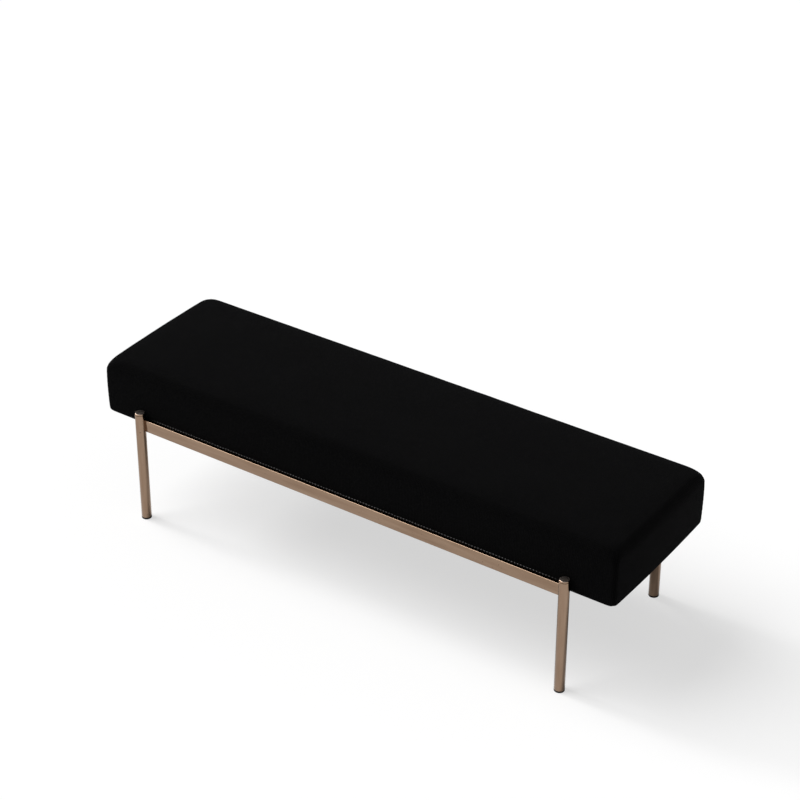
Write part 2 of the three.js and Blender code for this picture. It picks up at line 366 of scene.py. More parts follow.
class Finish(Nodes):
    """A material with one Principled shader, and short ways to add the patterns that drive it."""

    def __init__(self, name, **sockets):
        self.material = bpy.data.materials.new(name)
        self.material.use_nodes = True
        super().__init__(self.material.node_tree)
        self.shader = self.tree.nodes["Principled BSDF"]
        self.set(**sockets)

    def set(self, **sockets):
        """Sets sockets of the shader, or joins patterns to them."""
        for socket, value in sockets.items():
            self.join(value, self.shader.inputs[socket.replace("_", " ")])
        return self.material

    def place(self):
        return self.node("TexCoord").outputs["Object"]

    def along(self, axis):
        """How far a point lies along an axis of the bench."""
        return self.node("SeparateXYZ", {0: self.place()}).outputs["XYZ".index(axis)]

    def stretched(self, x, y, z):
        """Object coordinates drawn out or packed along each axis."""
        mapping = self.node("Mapping", {"Vector": self.place(), "Scale": (x, y, z)})
        return mapping.outputs[0]

    def grain(self, where, scale, detail=2.0, roughness=0.5):
        values = {"Vector": where, "Scale": scale, "Detail": detail, "Roughness": roughness}
        return self.node("TexNoise", values).outputs[0]

    def ramp(self, value, *stops):
        made = self.node("ValToRGB", {"Fac": value})
        elements = made.color_ramp.elements
        while len(elements) < len(stops):
            elements.new(0.5)
        for element, (position, colour) in zip(elements, stops):
            element.position = position
            element.color = (*colour, 1)
        return made.outputs[0]

    def mixed(self, share, first, second):
        """One colour that goes over into another."""
        values = {0: share, 6: first, 7: (*second, 1)}
        return self.node("Mix", values, data_type="RGBA").outputs[2]

    def relief(self, height, strength, distance, under=None):
        values = {"Height": height, "Strength": strength, "Distance": distance}
        if under is not None:
            values["Normal"] = under
        return self.node("Bump", values).outputs[0]


def champagne_steel(name, along):
    """Mirror-polished steel with a warm champagne plating, its polishing lines along one axis."""
    finish = Finish(name, Metallic=1.0)

    def drawn_out(across, lengthwise):
        return finish.stretched(*(lengthwise if axis == along else across for axis in "XYZ"))

    streaks = finish.grain(drawn_out(260, 4), 1.0, 3.0)
    cloudy = finish.grain(drawn_out(55, 6), 1.0, 3.0, 0.6)
    smudges = finish.grain(finish.place(), 9.0, 4.0, 0.6)
    tint = finish.ramp(
        cloudy,
        (0.3, (0.240, 0.160, 0.108)),
        (0.5, (0.276, 0.188, 0.130)),
        (0.72, (0.310, 0.216, 0.153)),
    )
    nicks = finish.spread(finish.grain(finish.place(), 280.0, 0.0), 0.82, 0.91, 0.0, 1.0)
    marked = finish.mixed(nicks, tint, (0.07, 0.048, 0.036))
    wiped = finish.spread(smudges, 0.45, 0.8, 0.08, 0.16)
    rough = finish.sum("ADD", wiped, finish.spread(streaks, 0.3, 0.7, 0.0, 0.03))
    rough = finish.sum("MULTIPLY_ADD", nicks, 0.3, rough)
    waves = finish.relief(finish.grain(finish.place(), 30.0, 1.0), 0.5, 0.00012)
    lines_cut = finish.relief(streaks, 0.15, 0.00003, waves)
    return finish.set(Base_Color=marked, Roughness=rough, Normal=lines_cut)


def weld_steel():
    """Plated weld metal: rougher and darker than the polished tube."""
    finish = Finish("plated_weld", Metallic=1.0)
    scale = finish.grain(finish.place(), 700.0, 3.0)
    tint = finish.ramp(scale, (0.35, (0.14, 0.105, 0.082)), (0.65, (0.25, 0.185, 0.14)))
    rough = finish.spread(scale, 0.35, 0.65, 0.28, 0.45)
    return finish.set(Base_Color=tint, Roughness=rough, Normal=finish.relief(scale, 0.3, 0.0002))


def satin_steel():
    """The same plating on a face that was turned and not polished: fine rings and specks."""
    finish = Finish("champagne_steel_turned", Metallic=1.0)
    specks = finish.grain(finish.place(), 520.0, 2.0, 0.6)
    tint = finish.ramp(specks, (0.35, (0.23, 0.20, 0.18)), (0.65, (0.31, 0.26, 0.23)))
    rough = finish.spread(specks, 0.35, 0.65, 0.26, 0.40)
    return finish.set(Base_Color=tint, Roughness=rough, Normal=finish.relief(specks, 0.3, 0.0001))


def woven_cloth(highlight_row_at):
    """Black chunky plain weave: thick yarns that pass over and under each other.

    Takes how far from the middle of the cut the painted highlight row lies, just above the
    rails; the yarn is sized so that the middle of a row runs there.
    """
    rail_row = round(highlight_row_at / YARN - 0.5) + 0.5
    yarn = highlight_row_at / rail_row
    finish = Finish(
        "woven_black_cloth",
        Roughness=0.95,
        Specular_IOR_Level=0.02,
        Sheen_Weight=0.012,
        Sheen_Roughness=0.4,
        Sheen_Tint=(0.6, 0.6, 0.65, 1),
    )
    flat = finish.node("UVMap", uv_map="cut").outputs[0]
    wander = finish.node("TexNoise", {"Vector": flat, "Scale": 60.0, "Detail": 1.0})
    drift = finish.node(
        "VectorMath", {0: wander.outputs["Color"], 1: (0.5, 0.5, 0.5)}, operation="SUBTRACT"
    )
    uneven = finish.node("VectorMath", {0: drift.outputs[0], 3: 0.0016}, operation="SCALE")
    cut = finish.node("VectorMath", {0: flat, 1: uneven.outputs[0]}, operation="ADD")
    apart = finish.node("SeparateXYZ", {0: cut.outputs[0]})
    across, along = (finish.sum("DIVIDE", apart.outputs[k], yarn) for k in (0, 1))
    column, row = (finish.sum("FLOOR", value) for value in (across, along))
    turn = finish.sum("MODULO", finish.sum("ABSOLUTE", finish.sum("ADD", column, row)), 2)
    in_column, in_row = (
        finish.sum("SUBTRACT", finish.sum("FRACT", value), 0.5) for value in (across, along)
    )

    def either(first, second):
        return finish.node("Mix", {0: turn, 2: first, 3: second}, data_type="FLOAT").outputs[0]

    side = either(in_column, in_row)
    run = either(in_row, in_column)
    edge = finish.times(finish.times(side, side), 4)
    roundness = finish.sum("SQRT", finish.sum("MAXIMUM", finish.sum("SUBTRACT", 1, edge), 0))
    arch = finish.sum("COSINE", finish.times(run, math.pi))
    lift = finish.sum("MULTIPLY_ADD", arch, 0.6, 0.4)
    knuckle = finish.times(roundness, lift)
    twist_run = finish.sum("MULTIPLY_ADD", run, 5.0, finish.times(side, 2.4))
    twist = finish.sum("SINE", finish.times(twist_run, math.pi * 2))
    fuzz = finish.grain(flat, 2600.0, 2.0, 0.7)
    height = finish.sum("MULTIPLY_ADD", twist, 0.07, knuckle)
    height = finish.sum("MULTIPLY_ADD", fuzz, 0.22, height)
    cell = finish.node("CombineXYZ", {0: column, 1: row}).outputs[0]
    own_tone = finish.node("TexWhiteNoise", {0: cell}).outputs["Value"]
    nap = finish.grain(flat, 7.0, 3.0)
    tone = finish.sum("MULTIPLY_ADD", own_tone, 0.25, finish.times(nap, 0.35))
    # Painted shade: the colour darkens where the yarns dip between knuckles; each cell's own tone
    # and the nap vary it at random
    shade_and_tone = finish.times(knuckle, finish.sum("ADD", tone, 0.55))
    black = finish.ramp(
        shade_and_tone,
        (0.0, (0.0004, 0.0004, 0.0004)),
        (0.45, (0.0015, 0.0015, 0.0016)),
        (1.0, (0.0042, 0.0041, 0.0043)),
    )
    # Painted highlight: just above the rails on the long sides, one row is painted grey, most of
    # all its knuckles that lie along the rail
    own_row = finish.sum("ABSOLUTE", along)
    off_row = finish.sum("ABSOLUTE", finish.sum("SUBTRACT", own_row, rail_row))
    on_row = finish.spread(off_row, 0.42, 0.5, 1, 0)
    reach = finish.sum("ABSOLUTE", apart.outputs[0])
    between_legs = finish.spread(reach, 0.600, 0.655, 1, 0)
    painted_highlight = finish.times(on_row, between_legs)
    painted_highlight = finish.times(painted_highlight, either(0.16, 1.0))
    painted_highlight = finish.times(painted_highlight, finish.spread(knuckle, 0.35, 0.8, 0, 1))
    colour = finish.mixed(painted_highlight, black, (0.23, 0.23, 0.238))
    return finish.set(Base_Color=colour, Normal=finish.relief(height, 0.75, 0.0011))


def seat_foam():
    """Cream open-cell foam with cells of about a millimetre."""
    finish = Finish("open_cell_foam", Roughness=0.95, Specular_IOR_Level=0.15)
    spots = finish.node("TexVoronoi", {"Vector": finish.place(), "Scale": 850.0})
    cells = spots.outputs["Distance"]
    age = finish.grain(finish.place(), 5.0, 3.0)
    # Painted shade: the pits of the cells are darker; the slow noise adds the foam's own yellowing
    # with age
    colour = finish.ramp(
        finish.sum("MULTIPLY_ADD", cells, 0.5, finish.times(age, 0.5)),
        (0.15, (0.50, 0.41, 0.22)),
        (0.6, (0.78, 0.69, 0.46)),
    )
    return finish.set(Base_Color=colour, Normal=finish.relief(cells, 0.6, 0.0005))


def plywood():
    """Raw birch plywood: long grain on the faces, and layers on the edges."""
    finish = Finish("raw_plywood", Roughness=0.7)
    grain = finish.grain(finish.stretched(3, 70, 8), 1.0, 6.0, 0.6)
    rings = finish.node(
        "TexWave",
        {"Vector": finish.stretched(0.6, 14, 1), "Scale": 1.0, "Distortion": 7.0, "Detail": 3.0},
    ).outputs[1]
    layer = finish.sum("FRACT", finish.sum("DIVIDE", finish.along("Z"), 0.003))
    dark_layer = finish.spread(layer, 0.48, 0.52, 1.0, 0.62)
    figure = finish.sum("MULTIPLY_ADD", rings, 0.35, finish.times(grain, 0.65))
    wood = finish.ramp(
        figure, (0.25, (0.40, 0.22, 0.09)), (0.5, (0.58, 0.36, 0.17)), (0.8, (0.70, 0.47, 0.25))
    )
    layered = finish.mixed(finish.sum("SUBTRACT", 1, dark_layer), wood, (0, 0, 0))
    return finish.set(Base_Color=layered, Normal=finish.relief(grain, 0.2, 0.0004))


def dust_cloth():
    """Thin black spun-bonded cloth with a grid of small bonded dots."""
    finish = Finish("spun_dust_cloth", Roughness=0.85, Specular_IOR_Level=0.25)
    dot_pitch = 0.0024
    waves = [
        finish.sum("SINE", finish.times(finish.along(axis), 2 * math.pi / dot_pitch))
        for axis in "XY"
    ]
    dots = finish.spread(finish.times(*waves), 0.35, 0.75, 0.0, 1.0)
    fibres = finish.grain(finish.stretched(600, 900, 600), 1.0, 4.0, 0.7)
    colour = finish.ramp(
        finish.sum("MULTIPLY_ADD", dots, -0.3, fibres),
        (0.2, (0.004, 0.004, 0.0045)),
        (0.8, (0.017, 0.017, 0.018)),
    )
    height = finish.sum("MULTIPLY_ADD", dots, -0.8, fibres)
    return finish.set(Base_Color=colour, Normal=finish.relief(height, 0.5, 0.0003))


def glide_plastic():
    """Black moulded plastic with a fine spark texture, scuffed where it meets the floor."""
    finish = Finish("black_glide_plastic", Specular_IOR_Level=0.15)
    spark = finish.grain(finish.place(), 1800.0, 2.0)
    scuff = finish.grain(finish.stretched(500, 500, 120), 1.0, 4.0)
    low = finish.spread(finish.along("Z"), 0, 0.002, 1, 0)
    worn = finish.times(low, finish.spread(scuff, 0.5, 0.65, 0.0, 1.0))
    colour = finish.ramp(worn, (0.0, (0.0035, 0.0035, 0.0036)), (1.0, (0.012, 0.0115, 0.011)))
    rough = finish.spread(worn, 0.0, 1.0, 0.42, 0.75)
    return finish.set(Base_Color=colour, Roughness=rough, Normal=finish.relief(spark, 0.2, 0.0001))


def zinc_steel():
    """Bright zinc plating with a faint cloudy bloom."""
    finish = Finish("bright_zinc", Metallic=1.0)
    bloom = finish.grain(finish.place(), 300.0, 4.0, 0.6)
    colour = finish.ramp(bloom, (0.3, (0.43, 0.45, 0.48)), (0.7, (0.60, 0.61, 0.62)))
    rough = finish.spread(bloom, 0.3, 0.7, 0.24, 0.42)
    return finish.set(Base_Color=colour, Roughness=rough, Normal=finish.relief(bloom, 0.1, 0.00005))


# ------------ seat pad

def ease(value):
    """Zero up to 0, one from 1, and smooth between."""
    value = min(max(value, 0), 1)
    return value * value * (3 - 2 * value)


def evenly(half, count):
    """The places that part a side of that half length into a count of even steps."""
    return [-half + 2 * half * k / count for k in range(count + 1)]


def stations(half, count):
    """Where the mesh lines cross a side of that half length: even, and crowded at its corners."""
    near = [half - distance for distance in NEAR_CORNER]
    return [-value for value in near] + evenly(near[-1], count)[1:-1] + near[::-1]


def grid_faces(columns, rows):
    """The faces between points that are laid column by column."""
    return [
        (first, first + rows, first + rows + 1, first + 1)
        for column in range(columns - 1)
        for first in range(column * rows, column * rows + rows - 1)
    ]


def onto_arc(x, y, half_x, half_y, radius):
    """Moves a point of a rectangle's edge onto the same rectangle with rounded corners."""
    if radius <= 0:
        return x, y
    reach_x, reach_y = half_x - abs(x), half_y - abs(y)
    centre_x, centre_y = half_x - radius, half_y - radius
    if max(reach_x, reach_y) >= radius:
        return x, y
    if reach_x <= reach_y:
        angle = math.pi / 4 * (1 - reach_y / radius)
    else:
        angle = math.pi / 2 - math.pi / 4 * (1 - reach_x / radius)
    moved_x = centre_x + radius * math.cos(angle)
    moved_y = centre_y + radius * math.sin(angle)
    return math.copysign(moved_x, x), math.copysign(moved_y, y)


def corner_radius(inset, skin):
    wanted = CORNER - skin + CORNER_GROWTH * (inset - skin)
    return min(wanted, (HALF_DEPTH - inset) * CORNER_LIMIT)


def outside_ring(x, y, inset, skin):
    """How far a point lies outside the plan outline drawn in by an inset."""
    radius = corner_radius(inset, skin)
    over_x = abs(x) - (HALF_LENGTH - inset - radius)
    over_y = abs(y) - (HALF_DEPTH - inset - radius)
    outer = math.hypot(max(over_x, 0), max(over_y, 0))
    return outer + min(max(over_x, over_y), 0) - radius


def crown_height(x, y, skin):
    """The height of the crowned top over a point."""
    low, high = 0.0, CROWN_FLAT
    for _ in range(24):
        inset = (low + high) / 2
        if outside_ring(x, y, inset, skin) < 0:
            low = inset
        else:
            high = inset
    run = (CROWN_FLAT - low) / (CROWN_FLAT - TOP_INSET)
    return SHOULDER - skin + CROWN * (1 - run * run)


def drawn_in(height):
    half = SHOULDER / 2
    return SIDE_DRAW * ((height - half) / half) ** 2


def bowed(x, y, height):
    fullness = 1 - (y / HALF_DEPTH) ** 2
    return Vector((x * (1 + END_BOW / HALF_LENGTH * fullness), y, UNDERSIDE + height))


def edge_section(skin):
    """The pad's section from its top edge down to its underside, as insets and heights."""
    section = []

    def add(inset, height):
        section.append((inset + drawn_in(height), height))

    for step in range(1, 9):
        angle = math.pi / 2 * (1 - step / 8)
        height = SHOULDER - TOP_DROP + (TOP_DROP - skin) * math.sin(angle)
        height -= TOP_SLOPE * (TOP_INSET - skin) * math.cos(angle) * math.sin(angle)
        add(TOP_INSET - (TOP_INSET - skin) * math.cos(angle), height)
    upright = SHOULDER - TOP_DROP - BOTTOM_ROUND
    for step in range(1, 8):
        add(skin, SHOULDER - TOP_DROP - upright * step / 8)
    for step in range(5):
        angle = math.pi / 2 * step / 4
        height = BOTTOM_ROUND - (BOTTOM_ROUND - skin) * math.sin(angle)
        add(BOTTOM_ROUND - (BOTTOM_ROUND - skin) * math.cos(angle), height)
    return section


class PadForm:
    """The points and faces of a padded block: a crowned top and rings down round its edge."""

    def __init__(self, skin, rings_below):
        self.points = []
        top = TOP_INSET + drawn_in(SHOULDER - skin)
        self.half_x, self.half_y = HALF_LENGTH - top, HALF_DEPTH - top
        self.top_radius = corner_radius(top, skin)
        self.xs = stations(self.half_x, LINES_ALONG)
        self.ys = stations(self.half_y, LINES_ACROSS)
        self.faces = grid_faces(len(self.xs), len(self.ys))
        self.add_top(skin)
        self.border = self.walk_border()
        self.rings = [[self.index(i, j) for i, j in self.border]]
        rings_beside = [(inset, height, skin) for inset, height in edge_section(skin)]
        for inset, height, ring_skin in rings_beside + rings_below:
            last, ring = self.rings[-1], self.add_ring(inset, height, ring_skin)
            for step, here in enumerate(ring):
                after = (step + 1) % len(ring)
                self.faces.append((last[step], here, ring[after], last[after]))
            self.rings.append(ring)
        self.corners = [[ring[k] for k in self.corner_steps()] for ring in self.rings]

    def index(self, i, j):
        return i * len(self.ys) + j

    def add_top(self, skin):
        fade = 0.075
        for x in self.xs:
            for y in self.ys:
                inset = min(self.half_x - abs(x), self.half_y - abs(y))
                radius = self.top_radius * max(0, 1 - inset / fade)
                at = onto_arc(x, y, self.half_x - inset, self.half_y - inset, radius)
                self.points.append(bowed(*at, crown_height(*at, skin)))

    def walk_border(self):
        last_x, last_y = len(self.xs) - 1, len(self.ys) - 1
        walk = [(i, 0) for i in range(last_x)] + [(last_x, j) for j in range(last_y)]
        walk += [(i, last_y) for i in range(last_x, 0, -1)] + [(0, j) for j in range(last_y, 0, -1)]
        return walk

    def corner_steps(self):
        last_x, last_y = len(self.xs) - 1, len(self.ys) - 1
        return 0, last_x, last_x + last_y, 2 * last_x + last_y

    def add_ring(self, inset, height, skin):
        half_x, half_y = HALF_LENGTH - inset, HALF_DEPTH - inset
        xs, ys = stations(half_x, LINES_ALONG), stations(half_y, LINES_ACROSS)
        radius = corner_radius(inset, skin)
        first = len(self.points)
        for i, j in self.border:
            at = onto_arc(xs[i], ys[j], half_x, half_y, radius)
            self.points.append(bowed(*at, height))
        return list(range(first, len(self.points)))

    def mesh(self, name):
        return from_points(name, self.points, self.faces)


def cut_cloth(pad, form):
    """Unwraps the cover as it is cut: one piece, its four flaps sewn at the corners."""
    sewn = {index for ring in form.corners for index in ring}
    open_up(pad)
    choose("EDGE", lambda edge: all(vert.index in sewn for vert in edge.verts))
    bpy.ops.mesh.mark_seam(clear=False)
    bpy.ops.mesh.select_all(action="SELECT")
    bpy.ops.uv.unwrap(method="ANGLE_BASED", margin=0.0)
    close_up()
    layer = pad.data.uv_layers.active
    layer.name = "cut"
    flat_size(pad, layer, form)


def flat_size(pad, layer, form):
    """Turns and scales the cut into metres, its threads along the length and the depth."""
    top = range(len(form.xs) * len(form.ys))
    seen = {}
    for loop in pad.data.loops:
        if loop.vertex_index in top:
            seen[loop.vertex_index] = complex(*layer.data[loop.index].uv)
    real = {index: complex(*pad.data.vertices[index].co.xy) for index in seen}
    count = len(seen)
    mean_flat, mean_real = sum(seen.values()) / count, sum(real.values()) / count
    product = sum((real[k] - mean_real) * (seen[k] - mean_flat).conjugate() for k in seen)
    factor = product / sum(abs(seen[k] - mean_flat) ** 2 for k in seen)
    for item in layer.data:
        moved = (complex(*item.uv) - mean_flat) * factor + mean_real
        item.uv = (moved.real, moved.imag)


def level_rows(pad, form, line):
    """Draws the two long flaps of the cut straight, so that a row of the weave keeps to a height.

    Gives how far from the middle of the cut that height lies.
    """
    layer = pad.data.uv_layers["cut"]
    flat = {loop.vertex_index: layer.data[loop.index].uv[1] for loop in pad.data.loops}
    verts = pad.data.vertices
    crossed = {}
    for step, (i, j) in enumerate(form.border):
        if j in (0, len(form.ys) - 1) and abs(form.xs[i]) < LEVEL_REACH:
            for upper, lower in zip(form.rings, form.rings[1:]):
                high, low = verts[upper[step]], verts[lower[step]]
                if high.co.z >= line > low.co.z:
                    share = (high.co.z - line) / (high.co.z - low.co.z)
                    at = flat[high.index] + (flat[low.index] - flat[high.index]) * share
                    crossed[step] = abs(at)
    mean = sum(crossed.values()) / len(crossed)
    shift = {}
    for step, at in crossed.items():
        for ring in form.rings:
            vert = verts[ring[step]]
            below_top = ease((UNDERSIDE + SHOULDER - vert.co.z) / 0.08)
            hold = below_top * ease((LEVEL_REACH - abs(vert.co.x)) / 0.07)
            shift[vert.index] = (mean - at) * hold
    for loop in pad.data.loops:
        side = math.copysign(1, flat[loop.vertex_index])
        layer.data[loop.index].uv[1] += side * shift.get(loop.vertex_index, 0)
    return mean


def above_frame(height):
    """Zero beside the legs and rails, and one well above them."""
    return ease((height - ABOVE_FRAME) / ABOVE_BLEND)


def room_to_swell(co):
    """How far the cover may stand out past the solid at a point, clear of legs and rails."""
    at_side = ease((abs(co.y) - SIDE_FROM) / SIDE_BLEND)
    on_side = SWELL_AT_FRAME + SWELL_MORE_ABOVE * above_frame(co.z)
    return SWELL_ON_TOP + (on_side - SWELL_ON_TOP) * at_side


def swell(pad, form):
    """Lets the cover swell over its foam, held where it is sewn and stapled."""
    resting = [vert.co.copy() for vert in pad.data.vertices]
    outward = [vert.normal.copy() for vert in pad.data.vertices]
    tight = 0.002
    for vert, normal in zip(pad.data.vertices, outward):
        vert.co -= normal * tight
    hem = [vert.index for vert in pad.data.vertices if vert.co.z < UNDERSIDE + HEM_HELD]
    held = pad.vertex_groups.new(name="held")
    held.add(hem, 1, "ADD")
    held.add([index for ring in form.corners for index in ring], 1, "ADD")
    run_cloth(pad)
    rooms = [room_to_swell(rest) for rest in resting]
    amounts = []
    for vert, rest, normal, room in zip(pad.data.vertices, resting, outward, rooms):
        out = max((vert.co - rest).dot(normal), 0)
        amounts.append(room * math.tanh(out / room))
    amounts = evened(pad, amounts)
    for vert, rest, normal, room, out in zip(pad.data.vertices, resting, outward, rooms, amounts):
        vert.co = rest + normal * min(out, room)
    pad.vertex_groups.remove(pad.vertex_groups["held"])


def evened(pad, amounts):
    """Spreads the swelling evenly over the edge of the foam; the hem stays as it is."""
    beside = [[] for _ in amounts]
    for edge in pad.data.edges:
        a, b = edge.vertices
        beside[a].append(b)
        beside[b].append(a)
    free = [vert.index for vert in pad.data.vertices if vert.co.z > UNDERSIDE + HEM_FLAT]
    for _ in range(EVENING_ROUNDS):
        before = list(amounts)
        for index in free:
            around = beside[index]
            mean = sum(before[other] for other in around) / len(around)
            amounts[index] = (before[index] + mean) / 2
    return amounts


def run_cloth(pad):
    pick(pad)
    cloth = pad.modifiers.new("Cloth", "CLOTH")
    settings = cloth.settings
    settings.quality = 6
    settings.tension_stiffness = 25
    settings.compression_stiffness = 25
    settings.shear_stiffness = 10
    settings.bending_stiffness = 2
    settings.use_pressure = True
    settings.uniform_pressure_force = 4
    settings.vertex_group_mass = "held"
    settings.effector_weights.gravity = 0
    cloth.collision_settings.use_collision = False
    cloth.point_cache.frame_start = 1
    cloth.point_cache.frame_end = CLOTH_STEPS
    for step in range(1, CLOTH_STEPS + 1):
        bpy.context.scene.frame_set(step)
    bpy.ops.object.modifier_apply(modifier="Cloth")
    bpy.context.scene.frame_set(1)


def settle_cloth(pad):
    """Slight unevenness: the cloth lies a little higher and lower over the foam."""
    for vert in pad.data.vertices:
        share = above_frame(vert.co.z)
        wave = noise.noise(vert.co * 9) + 0.5 * noise.noise(vert.co * 24)
        vert.co += vert.normal * UNEVEN * (wave + 0.5) * share


def sew_corners(pad, lines):
    """Presses the four corner seams in, with small puckers along both sides of each."""
    tree = KDTree(len(lines))
    for index, co in enumerate(lines):
        tree.insert(co, index)
    tree.balance()
    top = UNDERSIDE + SHOULDER
    for vert in pad.data.vertices:
        near, _, distance = tree.find(vert.co)
        if distance > SEAM_REACH:
            continue
        at_hem = 0.3 + 0.7 * ease((near.z - UNDERSIDE) / SEAM_FADE_AT_HEM)
        fade = ease((top - near.z) / SEAM_FADE) * at_hem
        groove = SEAM_DEPTH * math.exp(-((distance / SEAM_WIDTH) ** 2))
        ripple = 0.5 + 0.5 * math.sin(near.z * 2 * math.pi / PUCKER_PITCH + 40 * vert.co.x)
        puff = PUCKER * ripple * math.exp(-(((distance - PUCKER_PLACE) / PUCKER_WIDTH) ** 2))
        vert.co += vert.normal * (puff - groove) * fade


def make_cover():
    form = PadForm(0, [(inset, 0, 0) for inset in HEM_RINGS])
    pad = form.mesh("seat_pad_cover")
    swell(pad, form)
    cut_cloth(pad, form)
    # The rows are levelled so that the painted highlight row keeps to one height along the rails
    cloth = woven_cloth(level_rows(pad, form, HIGHLIGHT_ROW_HEIGHT))
    settle_cloth(pad)
    lines = [vert.co.copy() for vert in pad.data.vertices]
    sewn = []
    for upper, lower in zip(form.corners, form.corners[1:]):
        for a, b in zip(upper, lower):
            sewn += [lines[a].lerp(lines[b], k / 6) for k in range(7)]
    finish_with(pad, "SUBSURF", levels=1, render_levels=1)
    sew_corners(pad, sewn)
    thicken(pad, CLOTH)
    pick(pad)
    bpy.ops.object.shade_smooth()
    place(pad, cloth, "seat_fabric", "seat_cover")


def make_foam():
    form = PadForm(FOAM_SKIN, [(POCKET, FOAM_SKIN, 0), (POCKET, POCKET_TOP, 0)])
    form.faces.append(tuple(reversed(form.rings[-1])))
    foam = form.mesh("seat_foam_block")
    lines = [vert.co.copy() for vert in foam.data.vertices]
    sewn = [lines[index] for ring in form.corners[:-2] for index in ring]
    sew_corners(foam, sewn)
    smooth(foam, 50)
    place(foam, seat_foam(), "foam", "seat_foam")


def sag(x, y, half_y):
    """How far the dust cloth hangs below its stretched place, least over the cross bars."""
    if abs(x) < OUTER_BAR:
        between = math.sin(math.pi * (x + OUTER_BAR) / BAR_PITCH) ** 2
    else:
        between = 0.35 * ease((abs(x) - OUTER_BAR) / 0.1)
    middle_share = max(0, 1 - (y / half_y) ** 2)
    ripple = noise.noise(Vector((x * 9, y * 26, 0.3)))
    return LINING_SAG * between * middle_share * (1 + 0.5 * ripple)


def make_dust_cloth(finish):
    inset = HEM_INNER + FIT_GAP
    half_x, half_y = HALF_LENGTH - inset, HALF_DEPTH - inset
    radius = corner_radius(inset, 0)
    xs, ys = evenly(half_x, 120), evenly(half_y, 32)
    points = []
    for x in xs:
        for y in ys:
            reach = min(half_x - abs(x), half_y - abs(y))
            bend = radius * max(0, 1 - reach / 0.12)
            at = onto_arc(x, y, half_x - reach, half_y - reach, bend)
            points.append(bowed(*at, LINING_RISE - sag(*at, half_y)))
    cloth = from_points("dust_cloth", points, grid_faces(len(xs), len(ys)))
    finish_with(cloth, "SOLIDIFY", thickness=LINING_THICK, offset=-1)
    bolts = [centre_of(f"bolt_{spot}") for spot in BOLT_PLACES]
    cut_with(cloth, drills("lining_punch", bolts, LINING_HOLE, 0.02))
    smooth(cloth, 60)
    place(cloth, finish, "lining_cloth", "seat_lining")


def drills(name, places, radius, length):
    """Upright drills at several places, as one piece to cut with."""
    return joined([round_bar(radius, length, spot, 32) for spot in places], name)


# ------------ frame

def turned_start(radius, bottom, top, sides=64):
    """A round bar on the Z axis to be shaped further."""
    bar = round_bar(radius, top - bottom, (0, 0, (top + bottom) / 2), sides)
    return settle(bar, "start")


def round_rim(radius, height, offset, segments):
    """In edit mode, bevels the circle of that radius round the Z axis at that height."""

    def on_rim(vert):
        off = math.hypot(*vert.co.xy) - radius, vert.co.z - height
        return max(map(abs, off)) < 2e-5

    round_off(lambda edge: all(map(on_rim, edge.verts)), offset, segments)


def make_leg_tube():
    low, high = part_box("leg_front_left")
    tube = turned_start(LEG_RADIUS, low.z, high.z)
    open_up(tube)
    open_ends(2)
    close_up()
    thicken(tube, LEG_WALL)
    finish_with(tube, "BEVEL", width=JOINT_ROUND, segments=2, limit_method="ANGLE")
    return smooth(tube)


def make_leg_cap():
    low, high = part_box("leg_cap_front_left")
    shoulder = high.z - CAP_HEIGHT + NECK
    cap = turned_start(LEG_RADIUS, shoulder, high.z)
    open_up(cap)
    choose("FACE", faces_down)
    bpy.ops.mesh.inset(thickness=NECK)
    draw_up(-NECK)
    bpy.ops.mesh.inset(thickness=LEG_WALL + FIT_GAP - NECK)
    draw_up(-(high.z - CAP_HEIGHT - low.z))
    round_rim(LEG_RADIUS, high.z, CAP_ROUND, 6)
    round_rim(LEG_RADIUS, shoulder, JOINT_ROUND, 2)
    close_up()
    return smooth(cap)


def finish_top(cap, finish):
    """Gives the top of a leg cap, in to where its rim turns down, a finish of its own."""
    cap.data.materials.append(finish)
    top = max(vert.co.z for vert in cap.data.vertices)
    for face in cap.data.polygons:
        if face.normal.z > 0.85 and face.center.z > top - CAP_ROUND:
            face.material_index = 1


def make_glide():
    """A glide: a disc under the leg, and a plug with two ribs that holds it in the tube."""
    low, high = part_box("glide_front_left")
    glide = turned_start(LEG_RADIUS, 0, GLIDE_HEIGHT)
    plug = LEG_RADIUS - LEG_WALL - FIT_GAP
    waist = 0.002
    pitch = (high.z - GLIDE_HEIGHT) / 2
    open_up(glide)
    choose("FACE", faces_up)
    bpy.ops.mesh.inset(thickness=LEG_RADIUS - plug + waist)
    for _ in range(2):
        draw_up(pitch * 0.6)
        grow_top(plug / (plug - waist))
        draw_up(pitch * 0.4)
        bpy.ops.transform.resize(value=((plug - waist) / plug, (plug - waist) / plug, 1))
    round_rim(LEG_RADIUS, 0, GLIDE_ROUND, 4)
    round_rim(LEG_RADIUS, GLIDE_HEIGHT, JOINT_ROUND, 2)
    close_up()
    return smooth(glide)


def grow_top(share):
    """Steps the selected face out into a rib."""
    draw_up(0)
    bpy.ops.transform.resize(value=(share, share, 1))


def make_rail():
    """The front rail: a flat tube, its ends cut to fit round the legs."""
    rail = block("rail", *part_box("rail_front"))
    open_up(rail)
    open_ends(0)
    round_off(lambda edge: abs(edge.verts[0].co.x - edge.verts[1].co.x) > 1, RAIL_ROUND, 4)
    close_up()
    thicken(rail, RAIL_WALL)
    legs = [centre_of("leg_front_left"), centre_of("leg_front_right")]
    cut_with(rail, drills("leg_cutter", legs, LEG_RADIUS + FIT_GAP, 0.5))
    return smooth(rail)


def make_cross_bar():
    """A flat cross bar at the middle of the bench, with holes for its two bolts."""
    low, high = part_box("cross_bar_1")
    bar = block("bar", low, high)
    open_up(bar)
    round_off(lambda edge: abs(edge.verts[0].co.y - edge.verts[1].co.y) > 0.1, BAR_ROUND, 3)
    close_up()
    holes = [centre_of(f"bolt_1_{side}") for side in ("front", "back")]
    cut_with(bar, drills("bolt_cutter", holes, BAR_HOLE, 0.1))
    bar.data.transform(Matrix.Translation((-(low.x + high.x) / 2, 0, 0)))
    return smooth(bar)


